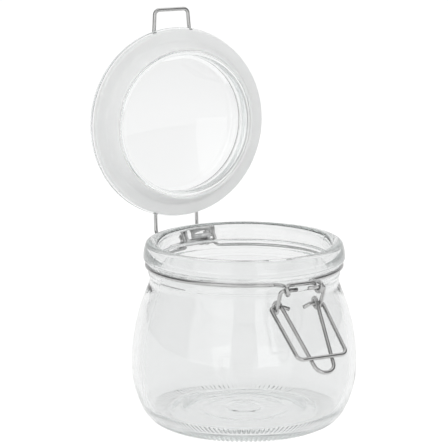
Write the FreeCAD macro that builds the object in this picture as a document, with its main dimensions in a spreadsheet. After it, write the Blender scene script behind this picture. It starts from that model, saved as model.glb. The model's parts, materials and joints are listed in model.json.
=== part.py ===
import FreeCAD, Part
import math
import os
import Sketcher

# Clear glass storage jar with a wire bail closure, lid open.
# Frame: +Z up, origin at the centre of the base, closure at the front (-Y), lid hinge at the back (+Y).
# Every piece is drawn with the lid closed; the lid's pieces are then turned about the rear hinge.

# angles in degrees where the rings leave their circle, and the bends that make up each curve
RING_ENDS = 69.0
LID_RING_ENDS = 66.0
RING_STEPS = 5
COIL_STEPS = 4
EYE_STEPS = (0.1, 0.4, 0.75)
# a sweep's volume may differ from its section times its length by this part, and no run is shorter in mm
SWEEP_TOLERANCE = 0.002
SHORTEST_RUN = 1e-4

SIZES = {
    # jar outline from the base up: radius and height of each corner of the wall section
    "punt_r": 0.0, "punt_z": 2.6,
    "punt_edge_r": 33.5, "punt_edge_z": 1.8,
    "foot_in_r": 35.5, "foot_in_z": 0.0,
    "foot_r": 38.0, "foot_z": 0.0,
    "heel_r": 50.48, "heel_z": 7.4,
    "belly_r": 56.0, "belly_z": 29.0,
    "shoulder_r": 47.6, "shoulder_z": 68.5,
    "neck_r": 46.8, "neck_z": 72.3,
    "lip_r": 48.4, "lip_z": 75.4,
    "groove_low_r": 46.9, "groove_low_z": 77.7,
    "groove_high_r": 46.9, "groove_high_z": 80.3,
    "bead_low_r": 49.2, "bead_low_z": 81.6,
    "bead_r": 49.7, "bead_z": 83.5,
    "rim_out_r": 48.57, "rim_out_z": 89.2,
    "rim_r": 46.2, "rim_z": 90.8,
    "mouth_r": 42.2, "mouth_z": 86.8,
    "throat_r": 42.2, "throat_z": 71.4,
    "inside_belly_r": 52.4, "inside_belly_z": 29.0,
    "inside_heel_r": 48.75, "inside_heel_z": 12.0,
    "floor_edge_r": 39.5, "floor_edge_z": 6.0,
    "floor_r": 0.0, "floor_z": 6.8,
    # jar outline arcs
    "heel_arc": 14.2, "low_belly_arc": 45.0, "shoulder_arc": 97.0, "neck_arc": 9.2,
    "lip_arc": 1.7, "bead_arc": 15.0, "rim_arc": 2.56, "mouth_arc": 4.0,
    "inside_shoulder_arc": 93.4, "inside_belly_arc": 41.4, "inside_heel_arc": 10.2,
    # lid glass, lid closed
    "ceiling_r": 0.0, "ceiling_z": 102.8,
    "ceiling_edge_r": 33.4, "ceiling_edge_z": 95.8,
    "recess_r": 34.7, "recess_z": 93.9,
    "boss_in_r": 35.2, "boss_in_z": 85.0,
    "boss_out_r": 36.9, "boss_out_z": 85.0,
    "boss_root_r": 40.9, "boss_root_z": 93.2,
    "seat_in_r": 41.8, "seat_in_z": 94.1,
    "seat_out_r": 48.3, "seat_out_z": 94.1,
    "brim_low_r": 48.6, "brim_low_z": 94.5,
    "brim_high_r": 48.2, "brim_high_z": 97.4,
    "ledge_out_r": 47.4, "ledge_out_z": 97.8,
    "ledge_in_r": 42.3, "ledge_in_z": 97.8,
    "dome_foot_r": 41.3, "dome_foot_z": 98.8,
    "dome_side_r": 40.6, "dome_side_z": 100.4,
    "dome_edge_r": 37.4, "dome_edge_z": 102.6,
    "dome_r": 0.0, "dome_z": 108.6,
    "recess_arc": 2.2, "boss_arc": 0.9, "boss_root_arc": 1.6, "dome_foot_arc": 1.0, "dome_arc": 4.2,
    # the dome's inside and outside are parts of spheres centred on the axis
    "ceiling_rise": "=ceiling_z - ceiling_edge_z", "dome_rise": "=dome_z - dome_edge_z",
    "ceiling_arc": "=(ceiling_edge_r^2 + ceiling_rise^2) / (2 * ceiling_rise)",
    "dome_top_arc": "=(dome_edge_r^2 + dome_rise^2) / (2 * dome_rise)",
    # gasket, lid closed: flat where the rim meets it, turned down round the lid's boss
    "seal_tip_r": 38.6, "seal_tip_z": 84.2,
    "seal_bend_r": 42.1, "seal_bend_z": 91.0,
    "seal_face_r": 46.9, "seal_face_z": 91.0,
    "seal_out_r": 47.9, "seal_out_z": 92.0,
    "seal_out_high_r": 47.9, "seal_out_high_z": 94.0,
    "seal_in_high_r": 41.9, "seal_in_high_z": 94.0,
    "seal_in_r": 37.4, "seal_in_z": 84.8,
    "seal_arc": 1.0,
    # wire gauges and eyes
    "neck_gauge": 2.0, "lid_gauge": 1.9, "lever_gauge": 1.9, "bail_gauge": 1.9,
    "pin_play": 0.08, "side_play": 0.35, "turn_gap": 0.12, "eye_ease": 0.04, "coil_ease": 0.12,
    # neck wire
    "neck_ring": 48.0, "neck_ring_height": 79.0, "eye_arm": 9.6, "eye_lead": 1.0,
    "rear_bar_reach": 51.0, "rear_bar_height": 83.9, "rear_bar_end": 5.0,
    "rear_bar_bend": 1.2, "front_bar_bend": 1.9, "arm_bend": 2.0, "arm_root_bend": 2.2,
    # hinge at the back, closure pivots at the front
    "hinge_reach": 57.5, "hinge_height": 82.5, "lid_open": 92.5,
    "lever_reach": 57.9, "lever_height": 78.1,
    "coil_reach": 51.8, "coil_height": 68.9, "coil_ring": 2.5,
    # lid wire
    "lid_ring": 43.4, "lid_wire_height": 98.8, "loop_reach": 57.8, "loop_half": 9.3,
    "loop_root_half": 10.4, "hinge_stub": 5.9,
    "stub_bend": 1.5, "leg_bend": 2.2, "ring_end_bend": 2.5, "loop_bend": 2.6,
    # lever and bail
    "lever_stub": 3.1, "tab_slope": 45.4, "tab_run": 38.9, "tab_half": 4.6, "tab_bend": 5.0,
    "bail_stub": 4.0, "bail_run": 32.0, "bail_half": 13.0, "bail_corner": 3.2, "bail_gap": 0.06,
    "tip_run": 3.6, "tip_drop": 1.4, "tip_bend": 2.0, "bail_pin_bend": 1.8,
}

doc = FreeCAD.newDocument("bail_jar")
sheet = doc.addObject("Spreadsheet::Sheet", "Sizes")
for row, (word, content) in enumerate(SIZES.items(), start=1):
    sheet.set("A%d" % row, word)
    sheet.set("B%d" % row, str(content))
    sheet.setAlias("B%d" % row, word)
doc.recompute()


def size(word):
    """The number in the sheet's cell of that name."""
    return float(getattr(sheet, word))


def origin_feature(body, role):
    return next(f for f in body.Origin.OriginFeatures if f.Role == role)


def turned_body(name, outline):
    """A body turned about Z from a closed section.

    outline lists (corner, arc): the corner's radius and height are the cells corner_r and corner_z, and
    arc names the radius of the arc that leads to the next corner, bulging left of the way there when
    its name starts with a minus sign, or is None for a straight edge."""
    body = doc.addObject("PartDesign::Body", name)
    sketch = body.newObject("Sketcher::SketchObject", name + "_section")
    sketch.AttachmentSupport = [(origin_feature(body, "XZ_Plane"), "")]
    sketch.MapMode = "FlatFace"
    corners = [FreeCAD.Vector(size(c + "_r"), size(c + "_z"), 0) for c, _ in outline]
    count = len(outline)
    for i, (_, arc) in enumerate(outline):
        start = corners[i]
        end = corners[(i + 1) % count]
        if arc is None:
            sketch.addGeometry(Part.LineSegment(start, end))
        else:
            sketch.addGeometry(arc_between(start, end, size(arc.lstrip("-")), arc.startswith("-")))
    for i, (corner, arc) in enumerate(outline):
        after = (i + 1) % count
        first, _ = end_points(sketch, i, arc)
        _, last = end_points(sketch, (i - 1) % count, outline[i - 1][1])
        sketch.addConstraint(Sketcher.Constraint("Coincident", (i - 1) % count, last, i, first))
        for kind, cell in (("DistanceX", corner + "_r"), ("DistanceY", corner + "_z")):
            index = sketch.addConstraint(Sketcher.Constraint(kind, -1, 1, i, first, size(cell)))
            sketch.setExpression("Constraints[%d]" % index, "Sizes." + cell)
        if arc is not None:
            word = arc.lstrip("-")
            index = sketch.addConstraint(Sketcher.Constraint("Radius", i, size(word)))
            sketch.setExpression("Constraints[%d]" % index, "Sizes." + word)
    turn = body.newObject("PartDesign::Revolution", name + "_turn")
    turn.Profile = sketch
    turn.ReferenceAxis = (sketch, ["V_Axis"])
    turn.Angle = 360
    doc.recompute()
    return body


def arc_between(start, end, radius, left):
    """The short arc of that radius from start to end, with its bulge left or right of the way there."""
    chord = end - start
    side = FreeCAD.Vector(-chord.y, chord.x, 0).normalize()
    rise = radius - math.sqrt(radius ** 2 - (chord.Length / 2) ** 2)
    middle = (start + end) * 0.5 + side * (rise if left else -rise)
    return Part.Arc(start, middle, end)


def end_points(sketch, index, arc):
    """Which end of edge index is its start and which its end: a clockwise arc is stored reversed."""
    if arc is None or not arc.startswith("-"):
        return 1, 2
    return 2, 1


def tangent_arc(before, corner, after, bend):
    """The start, middle and end of the arc of that radius that rounds a corner of a bent wire."""
    back = (before - corner).normalize()
    ahead = (after - corner).normalize()
    half_turn = (math.pi - back.getAngle(ahead)) / 2
    run = bend * math.tan(half_turn)
    inward = (back + ahead).normalize()
    middle = corner + inward * (bend / math.cos(half_turn) - bend)
    return corner + back * run, middle, corner + ahead * run


def bent_wire(name, gauge, corners):
    """A round wire bent at each corner: corners are (x, y, z, bend radius), with its ends first and last."""
    points = [FreeCAD.Vector(*corner[:3]) for corner in corners]
    edges = []
    here = points[0]
    for i in range(1, len(corners) - 1):
        start, middle, end = tangent_arc(points[i - 1], points[i], points[i + 1], corners[i][3])
        if (start - here).Length > SHORTEST_RUN:
            if (start - here).dot(points[i] - points[i - 1]) < 0:
                raise ValueError("%s: bends overlap before corner %d" % (name, i))
            edges.append(Part.LineSegment(here, start).toShape())
        else:
            start = here
        edges.append(Part.Arc(start, middle, end).toShape())
        here = end
    edges.append(Part.LineSegment(here, points[-1]).toShape())
    path = doc.addObject("Part::Feature", name + "_path")
    path.Shape = Part.Wire(edges)
    section = doc.addObject("Part::Circle", name + "_section")
    section.setExpression("Radius", "Sizes." + gauge + " / 2")
    turn = FreeCAD.Rotation(FreeCAD.Vector(0, 0, 1), points[1] - points[0])
    section.Placement = FreeCAD.Placement(points[0], turn)
    wire = doc.addObject("Part::Sweep", name)
    wire.Sections = [section]
    wire.Spine = (path, ["Edge%d" % (i + 1) for i in range(len(edges))])
    wire.Solid = True
    wire.Frenet = False
    doc.recompute()
    expected = math.pi * (size(gauge) / 2) ** 2 * path.Shape.Length
    if abs(wire.Shape.Volume / expected - 1) > SWEEP_TOLERANCE:
        raise ValueError("%s: sweep volume %.1f, not %.1f" % (name, wire.Shape.Volume, expected))
    return wire


def ring_corners(radius, height, first, last, steps):
    """Corners of the polygon round a ring: its bends of the ring's radius join into a circular arc.

    Angles are in degrees from +X, and the arc runs between the tangent points at first and last."""
    step = math.radians(last - first) / steps
    reach = radius / math.cos(step / 2)
    angles = [math.radians(first) + step * (i + 0.5) for i in range(steps)]
    return [(reach * math.cos(a), reach * math.sin(a), height, radius) for a in angles]


def tangent_corner(radius, height, angle, across, bend):
    """The corner where the ring's tangent at that angle meets the line x = across."""
    a = math.radians(angle)
    run = (radius * math.cos(a) - across) / math.sin(a)
    return (across, radius * math.sin(a) + run * math.cos(a), height, bend)


def mirrored(corners):
    """The same corners on the other side of the jar, in the opposite order."""
    return [(-x, y, z, bend) for x, y, z, bend in reversed(corners)]


def arm_eye(reach, height, front):
    """Corners of one eye: in along its arm, level at the top, round the outer side and up the inner side.

    The loop's axis is parallel to X, and each quarter steps a little towards the middle plane."""
    sign = -1 if front else 1
    arm = size("eye_arm")
    ring = EYE_RING
    bend = ring - size("eye_ease")
    outer_top, outer_low, inner_low = [arm - step * EYE_PITCH for step in EYE_STEPS]
    return [
        (arm, sign * (reach - ring - size("eye_lead")), height + ring, size("arm_bend")),
        (outer_top, sign * (reach + ring), height + ring, bend),
        (outer_low, sign * (reach + ring), height - ring, bend),
        (inner_low, sign * (reach - ring), height - ring, bend),
    ]


def half_neck_wire(bar_height):
    """Corners of the neck wire's +X half, from the back bar to the front bar."""
    ring = size("neck_ring")
    height = size("neck_ring_height")
    arm = size("eye_arm")
    inner = arm - EYE_PITCH
    rear = size("hinge_reach")
    front = size("lever_reach")
    corners = [
        (inner, size("rear_bar_reach"), bar_height, size("rear_bar_bend")),
        (inner, rear - EYE_RING, size("hinge_height") + EYE_RING, size("rear_bar_bend")),
    ]
    corners += arm_eye(rear, size("hinge_height"), False)[::-1]
    corners.append(tangent_corner(ring, height, RING_ENDS, arm, size("arm_root_bend")))
    corners += ring_corners(ring, height, RING_ENDS, -RING_ENDS, RING_STEPS)
    corners.append(tangent_corner(ring, height, -RING_ENDS, arm, size("arm_root_bend")))
    corners += arm_eye(front, size("lever_height"), True)
    corners.append((inner, EYE_RING - front, size("lever_height") + EYE_RING, size("front_bar_bend")))
    return corners


def neck_wire():
    """One wire: a bar lapped over the other at the back, four eyes and the ring in the neck groove."""
    high = size("rear_bar_height")
    low = high - EYE_PITCH
    end = size("rear_bar_end")
    reach = size("rear_bar_reach")
    corners = [(-end, reach, high, 0)]
    corners += half_neck_wire(high)
    corners += mirrored(half_neck_wire(low))
    corners.append((end, reach, low, 0))
    return bent_wire("neck_wire", "neck_gauge", corners)


def lid_wire():
    """One wire: stubs in the rear eyes, legs, the ring at the dome's foot and the front loop."""
    leg = size("eye_arm") + size("neck_gauge") / 2 + size("side_play") + size("lid_gauge") / 2
    reach = size("hinge_reach")
    level = size("lid_wire_height")
    ring = size("lid_ring")
    bend = size("ring_end_bend")
    half = [
        (leg, reach, size("hinge_height"), size("stub_bend")),
        (leg, reach, level, size("leg_bend")),
        tangent_corner(ring, level, LID_RING_ENDS, leg, bend),
    ]
    half += ring_corners(ring, level, LID_RING_ENDS, -LID_RING_ENDS, RING_STEPS)
    half.append(tangent_corner(ring, level, -LID_RING_ENDS, size("loop_root_half"), bend))
    half.append((size("loop_half"), -size("loop_reach"), level, size("loop_bend")))
    stub = size("hinge_stub")
    corners = [(stub, reach, size("hinge_height"), 0)]
    corners += half + mirrored(half)
    corners.append((-stub, reach, size("hinge_height"), 0))
    return bent_wire("lid_wire", "lid_gauge", corners)


def outward(reach, height, slope, run):
    """The point that lies run beyond (reach, height), outward and down at that slope in degrees."""
    fall = math.radians(slope)
    return reach + run * math.cos(fall), height - run * math.sin(fall)


def coil_corners(arrive, leave, wide, narrow):
    """Corners of the lever's coil, from the angle arrive down to leave, stepping inwards along X.

    Angles are in degrees from straight out of the jar, growing upwards."""
    ring = size("coil_ring")
    step = math.radians(arrive - leave) / COIL_STEPS
    reach = ring / math.cos(step / 2)
    bend = ring - size("coil_ease")
    corners = []
    for i in range(COIL_STEPS):
        a = math.radians(arrive) - step * (i + 0.5)
        across = wide + (narrow - wide) * (i + 0.5) / COIL_STEPS
        out = size("coil_reach") + reach * math.cos(a)
        corners.append((across, -out, size("coil_height") + reach * math.sin(a), bend))
    return corners


def lever_wire():
    """One wire: stubs in the front eyes, arms, a coil each side and the rounded pull tab."""
    rise = size("lever_height") - size("coil_height")
    away = size("lever_reach") - size("coil_reach")
    to_pivot = math.degrees(math.atan2(rise, away))
    arrive = to_pivot - math.degrees(math.acos(size("coil_ring") / math.hypot(rise, away)))
    slope = size("tab_slope")
    leave = 90.0 - slope - 360.0
    narrow = LEVER_ARM - size("lever_gauge") - size("turn_gap")
    root = math.radians(90.0 - slope)
    start = (size("coil_reach") + size("coil_ring") * math.cos(root),
             size("coil_height") + size("coil_ring") * math.sin(root))
    tip = outward(*start, slope, size("tab_run"))
    half = [(LEVER_ARM, -size("lever_reach"), size("lever_height"), size("stub_bend"))]
    half += coil_corners(arrive, leave, LEVER_ARM, narrow)
    half.append((size("tab_half"), -tip[0], tip[1], size("tab_bend")))
    stub = (size("lever_stub"), -size("lever_reach"), size("lever_height"), 0)
    corners = [stub] + half + mirrored(half) + mirrored([stub])
    return bent_wire("lever_wire", "lever_gauge", corners)


def bail_wire():
    """One wire: tips and pins in the lever's coils, side legs and the bar that hooks over the lid's loop."""
    lift = size("coil_ring") + (size("lever_gauge") + size("bail_gauge")) / 2 + size("bail_gap")
    slope = size("tab_slope") - math.degrees(math.asin(lift / size("bail_run")))
    bar = outward(size("coil_reach"), size("coil_height"), slope, size("bail_run"))
    leg = LEVER_ARM + (size("lever_gauge") + size("bail_gauge")) / 2 + size("side_play")
    reach = size("coil_reach")
    height = size("coil_height")
    half = [
        (size("bail_stub") + size("tip_run"), -reach, height, size("tip_bend")),
        (leg, -reach, height, size("bail_pin_bend")),
        (size("bail_half"), -bar[0], bar[1], size("bail_corner")),
    ]
    tip = (size("bail_stub"), -reach, height - size("tip_drop"), 0)
    corners = [tip] + half + mirrored(half) + mirrored([tip])
    return bent_wire("bail_wire", "bail_gauge", corners)


EYE_PITCH = size("neck_gauge") + size("turn_gap")
EYE_RING = (size("lever_gauge") + size("neck_gauge")) / 2 + size("pin_play")
LEVER_ARM = size("eye_arm") + (size("neck_gauge") + size("lever_gauge")) / 2 + size("side_play")

jar_glass = turned_body("jar_glass", [
    ("punt", None), ("punt_edge", None), ("foot_in", None), ("foot", "heel_arc"),
    ("heel", "low_belly_arc"), ("belly", "shoulder_arc"), ("shoulder", "-neck_arc"),
    ("neck", None), ("lip", "lip_arc"), ("groove_low", None), ("groove_high", None),
    ("bead_low", None), ("bead", "bead_arc"), ("rim_out", "rim_arc"), ("rim", "mouth_arc"),
    ("mouth", None), ("throat", "-inside_shoulder_arc"), ("inside_belly", "-inside_belly_arc"),
    ("inside_heel", "-inside_heel_arc"), ("floor_edge", None), ("floor", None),
])
lid_glass = turned_body("lid_glass", [
    ("ceiling", "-ceiling_arc"), ("ceiling_edge", "-recess_arc"), ("recess", None),
    ("boss_in", "boss_arc"), ("boss_out", None), ("boss_root", "-boss_root_arc"), ("seat_in", None),
    ("seat_out", None), ("brim_low", None), ("brim_high", None), ("ledge_out", None),
    ("ledge_in", "-dome_foot_arc"), ("dome_foot", None), ("dome_side", "dome_arc"),
    ("dome_edge", "dome_top_arc"), ("dome", None),
])
gasket = turned_body("gasket", [
    ("seal_tip", None), ("seal_bend", None), ("seal_face", "seal_arc"), ("seal_out", None),
    ("seal_out_high", None), ("seal_in_high", None), ("seal_in", None),
])
neck = neck_wire()
lid_bail = lid_wire()
lever = lever_wire()
bail = bail_wire()

hinge = FreeCAD.Vector(0, size("hinge_reach"), size("hinge_height"))
opened = FreeCAD.Rotation(FreeCAD.Vector(1, 0, 0), -size("lid_open"))
for piece in (lid_glass, gasket, lid_bail):
    piece.Placement = FreeCAD.Placement(FreeCAD.Vector(), opened, hinge)

doc.recompute()
pieces = (jar_glass, neck, lid_glass, gasket, lid_bail, lever, bail)
for thing in doc.Objects:
    if {"Invalid", "Error"} & set(thing.State):
        raise RuntimeError("%s is %s" % (thing.Name, thing.State))
os.makedirs("parts", exist_ok=True)
for piece in pieces:
    shape = piece.Shape
    if shape.isNull() or not shape.isValid() or len(shape.Solids) != 1:
        raise RuntimeError("%s has no valid single solid" % piece.Label)
    shape.exportStep("parts/%s.step" % piece.Label)
    box = shape.BoundBox
    print("%-10s %8.1f mm3  x %.1f..%.1f  y %.1f..%.1f  z %.1f..%.1f" % (
        piece.Label, shape.Volume, box.XMin, box.XMax, box.YMin, box.YMax, box.ZMin, box.ZMax))
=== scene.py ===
import json
import math

import bmesh
import bpy
import numpy as np
from mathutils import Matrix, Vector


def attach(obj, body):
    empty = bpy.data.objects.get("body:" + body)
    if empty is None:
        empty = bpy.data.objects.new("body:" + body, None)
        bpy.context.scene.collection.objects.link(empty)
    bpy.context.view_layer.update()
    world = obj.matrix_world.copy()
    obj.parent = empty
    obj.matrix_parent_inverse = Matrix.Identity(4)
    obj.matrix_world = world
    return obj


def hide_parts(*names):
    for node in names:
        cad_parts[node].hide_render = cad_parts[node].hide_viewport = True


# Clear glass storage jar with a wire bail closure. The jar, the lid and the seal are turned surfaces made
# here at full smoothness; the four wires keep the shape of their CAD nodes.

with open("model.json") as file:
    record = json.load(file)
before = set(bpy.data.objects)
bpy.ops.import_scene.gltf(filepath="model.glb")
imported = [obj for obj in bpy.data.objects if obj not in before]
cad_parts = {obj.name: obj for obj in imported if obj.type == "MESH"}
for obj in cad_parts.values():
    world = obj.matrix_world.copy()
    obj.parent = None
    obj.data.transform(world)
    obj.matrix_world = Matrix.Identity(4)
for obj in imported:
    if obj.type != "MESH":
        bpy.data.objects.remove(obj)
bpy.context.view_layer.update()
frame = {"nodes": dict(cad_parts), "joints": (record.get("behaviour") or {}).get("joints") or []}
MM = 0.001

# ---------------------------------------------------------------- sections, in millimetres
# Each corner is (radius, height, arc): arc is the radius of the round stretch to the next corner, bulging
# right of the way there if positive and left if negative, and 0 for a straight run.

JAR_SECTION = [
    (0.0, 2.45, 0), (6.0, 2.43, 14.0), (8.4, 2.34, -14.0), (10.8, 2.27, 0), (19.0, 2.2, 18.0),
    (21.5, 2.13, -18.0), (24.0, 2.07, 0), (28.0, 1.9, 14.0), (33.0, 0.8, -14.0), (36.8, 0.0, 0),
    (38.0, 0.0, 14.2), (50.48, 7.4, 45.0), (56.0, 29.0, 97.0), (47.6, 68.5, -9.2), (46.8, 72.3, -5.0),
    (47.3, 74.6, 2.4), (47.3, 76.2, 2.4), (46.95, 77.4, -2.6), (46.95, 80.4, -2.0), (48.9, 81.5, 1.6),
    (49.7, 83.2, 16.0), (48.75, 89.0, 2.4), (46.2, 90.8, 4.2), (42.2, 86.8, 0), (42.2, 74.4, -18.0),
    (42.9, 69.9, -93.4), (52.4, 29.0, -41.4), (48.75, 12.0, -10.2), (39.5, 6.0, 0), (26.0, 6.5, 60.0),
    (21.0, 6.75, -60.0), (9.0, 7.0, 0), (0.0, 7.05, 0),
]
LID_SECTION = [
    (0.0, 102.8, -83.2), (33.4, 95.8, -2.2), (34.7, 93.9, 0), (35.2, 85.0, 0.9), (36.9, 85.0, 0),
    (40.9, 93.2, -1.6), (41.8, 94.1, 0), (48.0, 94.1, 0.7), (48.6, 94.7, 2.6), (48.2, 97.2, 0.8),
    (47.4, 97.8, 0), (42.3, 97.8, -1.0), (41.3, 98.8, 0), (40.6, 100.4, 4.2), (37.4, 102.6, 119.6),
    (0.0, 108.6, 0),
]
SEAL_SECTION = [
    (38.9, 84.6, 0), (41.7, 90.3, -1.8), (42.9, 91.0, 0), (46.9, 91.0, 1.0), (47.9, 92.0, 0),
    (47.9, 93.5, 0.5), (47.4, 94.0, 0), (42.6, 94.0, 2.0), (41.3, 92.9, 0), (37.6, 85.3, 0.7),
    (37.9, 84.3, 0.7),
]

JAR_SEGMENTS = 720
LID_SEGMENTS = 384
# the outside of the jar ends where its outline first rises past this height
RIM_CROWN = 90.7

HEEL_RIBS = 120
HEEL_RIB_DEPTH = 0.32
HEEL_RIB_RADIUS = (38.0, 47.4)
HEEL_RIB_TOP = 5.0
# shares of a rib's depth that go outwards and upwards
RIB_OUT = 0.6
RIB_UP = 0.8
SEAM_HEIGHT = 0.07
SEAM_WIDTH = 0.7
SEAM_START = (9, 12)
OUTER_WAVE = 0.035
INNER_WAVE = 0.06
WAVE_START = (9, 20)
WAVE_END = (64, 74)


def arc_points(start, end, radius, step):
    """Points of the circular arc from start up to, not including, end, about step apart.

    The centre lies off the chord's middle by the root of radius squared less half the chord squared."""
    chord = end - start
    length = np.hypot(*chord)
    across = np.array([-chord[1], chord[0]]) / length * np.sign(radius)
    centre = (start + end) / 2 + across * math.sqrt(max(radius ** 2 - (length / 2) ** 2, 0))
    sweep = 2 * math.asin(min(1.0, length / 2 / abs(radius))) * np.sign(radius)
    count = max(3, math.ceil(abs(sweep) / step))
    turns = sweep * np.arange(count) / count
    spoke = start - centre
    return centre + np.stack([spoke[0] * np.cos(turns) - spoke[1] * np.sin(turns),
                              spoke[0] * np.sin(turns) + spoke[1] * np.cos(turns)], 1)


def outline(section, step, run, closed):
    """A section's corners as points: arcs divided every step radians, straight runs every run mm.

    A closed section's last corner leads back to its first; an open one ends at its last corner."""
    points = []
    following = section[1:] + section[:1] if closed else section[1:]
    for (r0, z0, arc), (r1, z1, _) in zip(section, following):
        start = np.array([r0, z0])
        end = np.array([r1, z1])
        if arc:
            points.append(arc_points(start, end, arc, step))
        else:
            count = max(1, math.ceil(np.hypot(*(end - start)) / run))
            points.append(start + (end - start) * np.arange(count)[:, None] / count)
    if not closed:
        points.append(np.array([section[-1][:2]]))
    return np.concatenate(points)


def turned(name, points, segments, closed, relief=None):
    """A surface of revolution: point (r, z) of the outline at turn a lies at (r cos a, r sin a, z).

    relief(r, z, a) gives the (radial, vertical) shift of each point. An open outline starts and ends on
    the axis, where one vertex closes each pole; a closed one joins its last point to its first."""
    turns = np.arange(segments) * 2 * math.pi / segments
    body = points if closed else points[1:-1]
    r = np.repeat(body[:, :1], segments, 1)
    z = np.repeat(body[:, 1:], segments, 1)
    a = np.broadcast_to(turns, r.shape)
    if relief is not None:
        out, up = relief(r, z, a)
        r = r + out
        z = z + up
    rows = len(body)
    coords = np.stack([r * np.cos(a), r * np.sin(a), z], 2).reshape(-1, 3)
    i = np.arange(rows if closed else rows - 1)[:, None]
    j = np.arange(segments)[None, :]
    here = i * segments + j
    beside = i * segments + (j + 1) % segments
    above = (i + 1) % rows * segments + j
    above_beside = (i + 1) % rows * segments + (j + 1) % segments
    faces = np.stack([here, beside, above_beside, above], 2).reshape(-1, 4).tolist()
    if not closed:
        first = len(coords)
        ends = [[0, 0, points[0, 1]], [0, 0, points[-1, 1]]]
        coords = np.concatenate([coords, ends])
        around = np.arange(segments)
        after = (around + 1) % segments
        top = (rows - 1) * segments
        faces += np.stack([np.full(segments, first), after, around], 1).tolist()
        faces += np.stack([np.full(segments, first + 1), top + around, top + after], 1).tolist()
    mesh = bpy.data.meshes.new(name)
    mesh.from_pydata((coords * MM).tolist(), [], faces)
    mesh.polygons.foreach_set("use_smooth", np.ones(len(mesh.polygons), bool))
    mesh.update()
    piece = bpy.data.objects.new(name, mesh)
    bpy.context.scene.collection.objects.link(piece)
    return piece


def smooth_step(x, low, high):
    """0 below low, 1 above high and three x squared less two x cubed between them."""
    t = np.clip((x - low) / (high - low), 0, 1)
    return t * t * (3 - 2 * t)


def glass_wave(a, z, phase):
    """Slow unevenness of pressed glass: the mean of four sine waves round the turn and up the height."""
    waves = (
        np.sin(7 * a + 0.11 * z + phase) + np.sin(13 * a - 0.23 * z + 2.1 * phase)
        + np.sin(19 * a + 0.31 * z + 0.7 * phase) + np.sin(3 * a + 0.42 * z + 1.3 * phase)
    )
    return waves / 4


def jar_relief(r, z, a):
    """Ribs round the heel, a faint mould seam at each side and slow waves of the wall.

    The ribs are cosines round the turn, faded in and out along the heel; the seam is a narrow bell curve
    less its own height. Nothing rises past the plain outside or sinks under the foot."""
    outside = (np.cumsum(np.ones_like(r), 0) - 1) < OUTER_POINTS
    inner, outer = HEEL_RIB_RADIUS
    heel = smooth_step(r, inner, inner + 2.0) * (1 - smooth_step(r, outer - 1.0, outer + 0.6))
    heel = heel * (z < HEEL_RIB_TOP) * outside
    ribs = HEEL_RIB_DEPTH * heel * np.cos(HEEL_RIBS * a)
    seam_turn = np.abs(np.mod(a + math.pi / 2, math.pi) - math.pi / 2)
    seam = SEAM_HEIGHT * (np.exp(-(seam_turn * r / SEAM_WIDTH) ** 2) - 1) * outside
    seam = seam * smooth_step(z, *SEAM_START)
    body = smooth_step(z, *WAVE_START) * (1 - smooth_step(z, *WAVE_END))
    outer_wave = OUTER_WAVE * (glass_wave(a, z, 0.4) - 1)
    wave = body * np.where(outside, outer_wave, INNER_WAVE * glass_wave(a, z, 1.9))
    return wave + seam + RIB_OUT * ribs, np.maximum(-RIB_UP * ribs, -RIB_UP * z)


# ---------------------------------------------------------------- pieces

def at_lid(piece):
    """Turns a piece drawn on the closed jar to where the open lid is, about the lid's hinge."""
    hinge = next(j for j in frame["joints"] if j["name"] == "lid_hinge")
    pivot = Vector(hinge["pos_m"])
    back = Matrix.Rotation(-math.radians(hinge["range_deg"][1]), 4, Vector(hinge["axis"]))
    piece.data.transform(Matrix.Translation(pivot) @ back @ Matrix.Translation(-pivot))
    return piece


def stands_for(piece, node, body):
    """Ties a piece to the body it moves with and hides the CAD node it replaces."""
    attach(piece, body)
    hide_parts(node)
    return piece


jar_points = outline(JAR_SECTION, 0.13, 4.2, False)
OUTER_POINTS = int(np.argmax(jar_points[:, 1] > RIM_CROWN)) + 2
jar = turned("jar_body", jar_points, JAR_SEGMENTS, False, jar_relief)
stands_for(jar, "jar_glass", "jar")

lid_points = outline(LID_SECTION, 0.11, 3.0, False)
lid = at_lid(turned("lid_dome", lid_points, LID_SEGMENTS, False))
stands_for(lid, "lid_glass", "lid")

seal = at_lid(turned("seal_ring", outline(SEAL_SECTION, 0.2, 1.2, True), LID_SEGMENTS, True))
stands_for(seal, "gasket", "lid")


def wire_copy(node, body):
    """A smooth-shaded copy of a wire's CAD mesh, its triangles merged and its cut ends left sharp."""
    mesh = frame["nodes"][node].data.copy()
    work = bmesh.new()
    work.from_mesh(mesh)
    bmesh.ops.remove_doubles(work, verts=work.verts, dist=1e-6)
    work.to_mesh(mesh)
    work.free()
    mesh.polygons.foreach_set("use_smooth", np.ones(len(mesh.polygons), bool))
    mesh.set_sharp_from_angle(angle=math.radians(50))
    piece = bpy.data.objects.new(node + "_drawn", mesh)
    bpy.context.scene.collection.objects.link(piece)
    return stands_for(piece, node, body)


wires = [wire_copy(node, body) for node, body in (
    ("neck_wire", "jar"), ("lid_wire", "lid"), ("lever_wire", "lever"), ("bail_wire", "bail"))]


# ---------------------------------------------------------------- materials

class Val:
    """A node's output socket that can be added, subtracted and multiplied: each operator adds a Math node."""

    def __init__(self, shader, socket):
        self.shader = shader
        self.socket = socket

    def maths(self, operation, *terms):
        node = self.shader.node("ShaderNodeMath", {"operation": operation})
        for place, term in enumerate(terms):
            self.shader.feed(node.inputs[place], term)
        return Val(self.shader, node.outputs[0])

    def __add__(self, other):
        return self.maths("ADD", self, other)

    def __sub__(self, other):
        return self.maths("SUBTRACT", self, other)

    def __mul__(self, other):
        return self.maths("MULTIPLY", self, other)

    def __rsub__(self, other):
        return self.maths("SUBTRACT", other, self)

    __radd__ = __add__
    __rmul__ = __mul__


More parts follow.
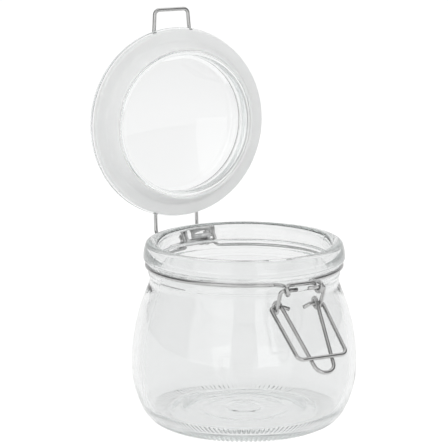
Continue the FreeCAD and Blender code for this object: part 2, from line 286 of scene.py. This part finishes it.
class Shader:
    """A material's or the world's node tree, and the one way a node is added to it."""

    def __init__(self, owner):
        owner.use_nodes = True
        self.tree = owner.node_tree
        self.tree.nodes.clear()

    def feed(self, socket, value):
        if isinstance(value, Val):
            self.tree.links.new(value.socket, socket)
        else:
            socket.default_value = value

    def node(self, kind, settings=None, **inputs):
        """A node of that kind: its settings first, then each named socket's value or link."""
        node = self.tree.nodes.new(kind)
        for word, value in (settings or {}).items():
            setattr(node, word, value)
        for word, value in inputs.items():
            self.feed(node.inputs[word.replace("_", " ")], value)
        return node

    def out(self, kind, output, settings=None, **inputs):
        return Val(self, self.node(kind, settings, **inputs).outputs[output])

    def place(self):
        return self.out("ShaderNodeTexCoord", "Object")

    def noise(self, scale, detail=2.0, where=None):
        return self.out("ShaderNodeTexNoise", "Fac", Vector=where or self.place(), Scale=scale, Detail=detail)

    def tint(self, share, low, high):
        """The colour that goes from low to high as share goes from 0 to 1."""
        node = self.node("ShaderNodeMix", {"data_type": "RGBA"})
        for socket, value in zip((node.inputs[0], node.inputs[6], node.inputs[7]), (share, low, high)):
            self.feed(socket, value)
        return Val(self, node.outputs[2])

    def along(self, vector, line):
        """How far the vector reaches along a fixed unit line: their dot product."""
        node = self.node("ShaderNodeVectorMath", {"operation": "DOT_PRODUCT"})
        self.feed(node.inputs[0], vector)
        self.feed(node.inputs[1], line)
        return Val(self, node.outputs["Value"])

    def bump(self, height, distance):
        return self.out("ShaderNodeBump", "Normal", Height=height, Distance=distance)

    def either(self, share, first, second):
        """The mix of two shader nodes that shows the second where share is 1."""
        mix = self.node("ShaderNodeMixShader")
        for socket, source in zip(mix.inputs, (share, first.outputs[0], second.outputs[0])):
            self.tree.links.new(source, socket)
        return mix

    def finish(self, shader_node, inside=None):
        output = self.node("ShaderNodeOutputMaterial")
        self.tree.links.new(shader_node.outputs[0], output.inputs["Surface"])
        if inside is not None:
            self.tree.links.new(inside.outputs[0], output.inputs["Volume"])


# what is left of lamp and floor light after each face of the glass
PASSED_LIGHT = (0.985, 0.985, 0.985, 1)
# how strongly the glass darkens with depth, per metre
DEPTH_OF_TINT = 7.0


def clear_glass(name, tint_low, tint_high, ripple):
    """Pressed soda glass: almost colourless, a polished skin with a fine orange-peel ripple and a few
    duller patches where it left the mould. Light from lamps and dull surfaces passes straight through."""
    material = bpy.data.materials.new(name)
    s = Shader(material)
    cloud = s.noise(38.0, 3.0)
    skin = s.noise(160.0, 2.0)
    path = s.node("ShaderNodeLightPath")
    glass = s.node(
        "ShaderNodeBsdfPrincipled",
        Base_Color=s.tint(cloud, tint_low, tint_high),
        Roughness=cloud * 0.02,
        Normal=s.bump(skin, ripple),
        IOR=1.5,
        Transmission_Weight=1.0,
    )
    clear = s.node("ShaderNodeBsdfTransparent", Color=PASSED_LIGHT)
    for kind in ("Is Shadow Ray", "Is Diffuse Ray"):
        glass = s.either(path.outputs[kind], glass, clear)
    s.finish(glass, s.node("ShaderNodeVolumeAbsorption", Color=(0.80, 0.84, 0.83, 1), Density=DEPTH_OF_TINT))
    return material


def seal_rubber(name):
    """Translucent white rubber: milky with faint clouds, a satin face and a fine moulded grain."""
    material = bpy.data.materials.new(name)
    s = Shader(material)
    cloud = s.noise(55.0, 3.0)
    grain = s.noise(2600.0, 2.0)
    s.finish(s.node(
        "ShaderNodeBsdfPrincipled",
        Base_Color=s.tint(cloud, (0.80, 0.81, 0.81, 1), (0.85, 0.855, 0.85, 1)),
        Roughness=0.42 + cloud * 0.12,
        Normal=s.bump(grain, 0.00003),
        IOR=1.41,
        Transmission_Weight=0.3,
    ))
    return material


def steel_wire(name):
    """Bright drawn wire: grey steel with fine draw marks and slightly duller, darker stretches."""
    material = bpy.data.materials.new(name)
    s = Shader(material)
    stain = s.noise(220.0, 4.0)
    marks = s.noise(5200.0, 2.0)
    s.finish(s.node(
        "ShaderNodeBsdfPrincipled",
        Base_Color=s.tint(stain, (0.42, 0.42, 0.42, 1), (0.60, 0.60, 0.595, 1)),
        Metallic=1.0,
        Roughness=0.14 + stain * 0.12,
        Normal=s.bump(marks, 0.000006),
    ))
    return material


def dress(piece, material):
    piece.data.materials.clear()
    piece.data.materials.append(material)


dress(jar, clear_glass("jar_clear_glass", (0.905, 0.91, 0.91, 1), (0.925, 0.93, 0.93, 1), 0.00003))
dress(lid, clear_glass("lid_clear_glass", (0.975, 0.98, 0.98, 1), (0.99, 0.995, 0.995, 1), 0.00002))
dress(seal, seal_rubber("milky_seal_rubber"))
wire_finish = steel_wire("drawn_steel_wire")
for wire in wires:
    dress(wire, wire_finish)


# ---------------------------------------------------------------- studio

FLOOR_HALF = 9.0
CLOSURE_TURN = math.radians(28)
CAMERA_BACK = 1.100
CAMERA_ASIDE = -0.00994
CAMERA_HEIGHT = 0.3227
CAMERA_FALL = math.radians(11.5)
CAMERA_LENS = 183.7
LAMP_AIM_HEIGHT = 0.06
FLOOR_DROP = 0.0001

ahead = Vector((math.sin(CLOSURE_TURN), math.cos(CLOSURE_TURN), 0))
rightward = Vector((math.cos(CLOSURE_TURN), -math.sin(CLOSURE_TURN), 0))


def white_floor():
    """A wide pale table top, lying a hair under the foot's plane. Its colour carries painted shade: pale to
    the camera, darker grey to rays that reach it through glass or by reflection.
    """
    mesh = bpy.data.meshes.new("floor")
    h = FLOOR_HALF
    mesh.from_pydata([(-h, -h, 0), (h, -h, 0), (h, h, 0), (-h, h, 0)], [], [(0, 1, 2, 3)])
    floor = bpy.data.objects.new("floor", mesh)
    bpy.context.scene.collection.objects.link(floor)
    material = bpy.data.materials.new("pale_table")
    s = Shader(material)
    fleck = s.noise(90.0, 3.0)
    path = s.node("ShaderNodeLightPath")
    direct = Val(s, path.outputs["Is Camera Ray"])
    # painted shade: the floor's colour is near 0.96 grey to camera rays and near 0.82 grey to rays that reach
    # it through glass or in reflections, with faint random flecks
    s.finish(s.node(
        "ShaderNodeBsdfPrincipled",
        Base_Color=s.tint(fleck * 0.1 + direct * 0.9, (0.82, 0.82, 0.82, 1), (0.96, 0.96, 0.96, 1)),
        Roughness=0.9,
    ))
    dress(floor, material)
    floor.location.z = -FLOOR_DROP


def white_room():
    """A pale room: white to the eye and through glass near the horizon, dimmer overhead, and in reflections
    bright before, above and beyond the jar and dark at its sides."""
    world = bpy.data.worlds.new("pale_room")
    bpy.context.scene.world = world
    s = Shader(world)
    path = s.node("ShaderNodeLightPath")
    through = Val(s, path.outputs["Is Transmission Ray"])
    mirrored = Val(s, path.outputs["Is Glossy Ray"]) * (1 - through)
    direction = s.out("ShaderNodeTexCoord", "Generated")
    split = s.node("ShaderNodeSeparateXYZ", Vector=direction)
    overhead = s.out("ShaderNodeMapRange", "Result", {"interpolation_type": "SMOOTHSTEP"},
                     Value=Val(s, split.outputs["Z"]), From_Min=0.25, From_Max=0.7)
    depth = Val(s, path.outputs["Diffuse Depth"])
    on_floor = depth.maths("MINIMUM", depth, 1.0)
    across = s.along(direction, rightward)
    sideways = s.out("ShaderNodeMapRange", "Result", {"interpolation_type": "SMOOTHSTEP"},
                     Value=across * across, From_Min=0.16, From_Max=0.55)
    dimmed = through * (overhead * 0.25) + mirrored * (0.24 + sideways * 0.56)
    lit = 1.0 + on_floor * 0.1 - dimmed * (1 - on_floor)
    background = s.node("ShaderNodeBackground", Color=(1, 1, 1, 1), Strength=lit)
    output = s.node("ShaderNodeOutputWorld")
    s.tree.links.new(background.outputs[0], output.inputs["Surface"])
    world.cycles.sampling_method = "NONE"


def softbox(name, turn, rise, distance, size, power):
    """A rectangular lamp facing the jar, turn degrees right of the camera and rise degrees up."""
    lamp = bpy.data.lights.new(name, "AREA")
    lamp.shape = "RECTANGLE"
    lamp.size, lamp.size_y = size
    lamp.energy = power
    box = bpy.data.objects.new(name, lamp)
    bpy.context.scene.collection.objects.link(box)
    a = math.radians(turn)
    level = -ahead * math.cos(a) + rightward * math.sin(a)
    e = math.radians(rise)
    toward = level * math.cos(e) + Vector((0, 0, math.sin(e)))
    box.location = toward * distance + Vector((0, 0, LAMP_AIM_HEIGHT))
    box.rotation_euler = toward.to_track_quat("Z", "Y").to_euler()
    box.visible_camera = False


def low_camera():
    """A long lens a little over a metre away, looking down at the open lid and round the closure's side."""
    data = bpy.data.cameras.new("camera")
    data.lens = CAMERA_LENS
    data.sensor_width = 36
    data.clip_end = 100
    camera = bpy.data.objects.new("camera", data)
    bpy.context.scene.collection.objects.link(camera)
    camera.location = rightward * CAMERA_ASIDE - ahead * CAMERA_BACK + Vector((0, 0, CAMERA_HEIGHT))
    back = -ahead * math.cos(CAMERA_FALL) + Vector((0, 0, math.sin(CAMERA_FALL)))
    camera.rotation_euler = back.to_track_quat("Z", "Y").to_euler()
    bpy.context.scene.camera = camera


white_floor()
white_room()
softbox("softbox_left", -37, 16, 1.5, (1.25, 1.3), 3.6)
softbox("softbox_right", 25, 18, 1.5, (0.62, 1.1), 1.8)
softbox("softbox_top", 150, 68, 1.4, (0.9, 0.9), 1.4)
low_camera()
bpy.context.scene.view_settings.view_transform = "Standard"
# light that runs along inside the thick rim needs many bounces to get out
light_paths = bpy.context.scene.cycles
light_paths.max_bounces = 32
light_paths.glossy_bounces = 24
light_paths.transmission_bounces = 24
light_paths.transparent_max_bounces = 24
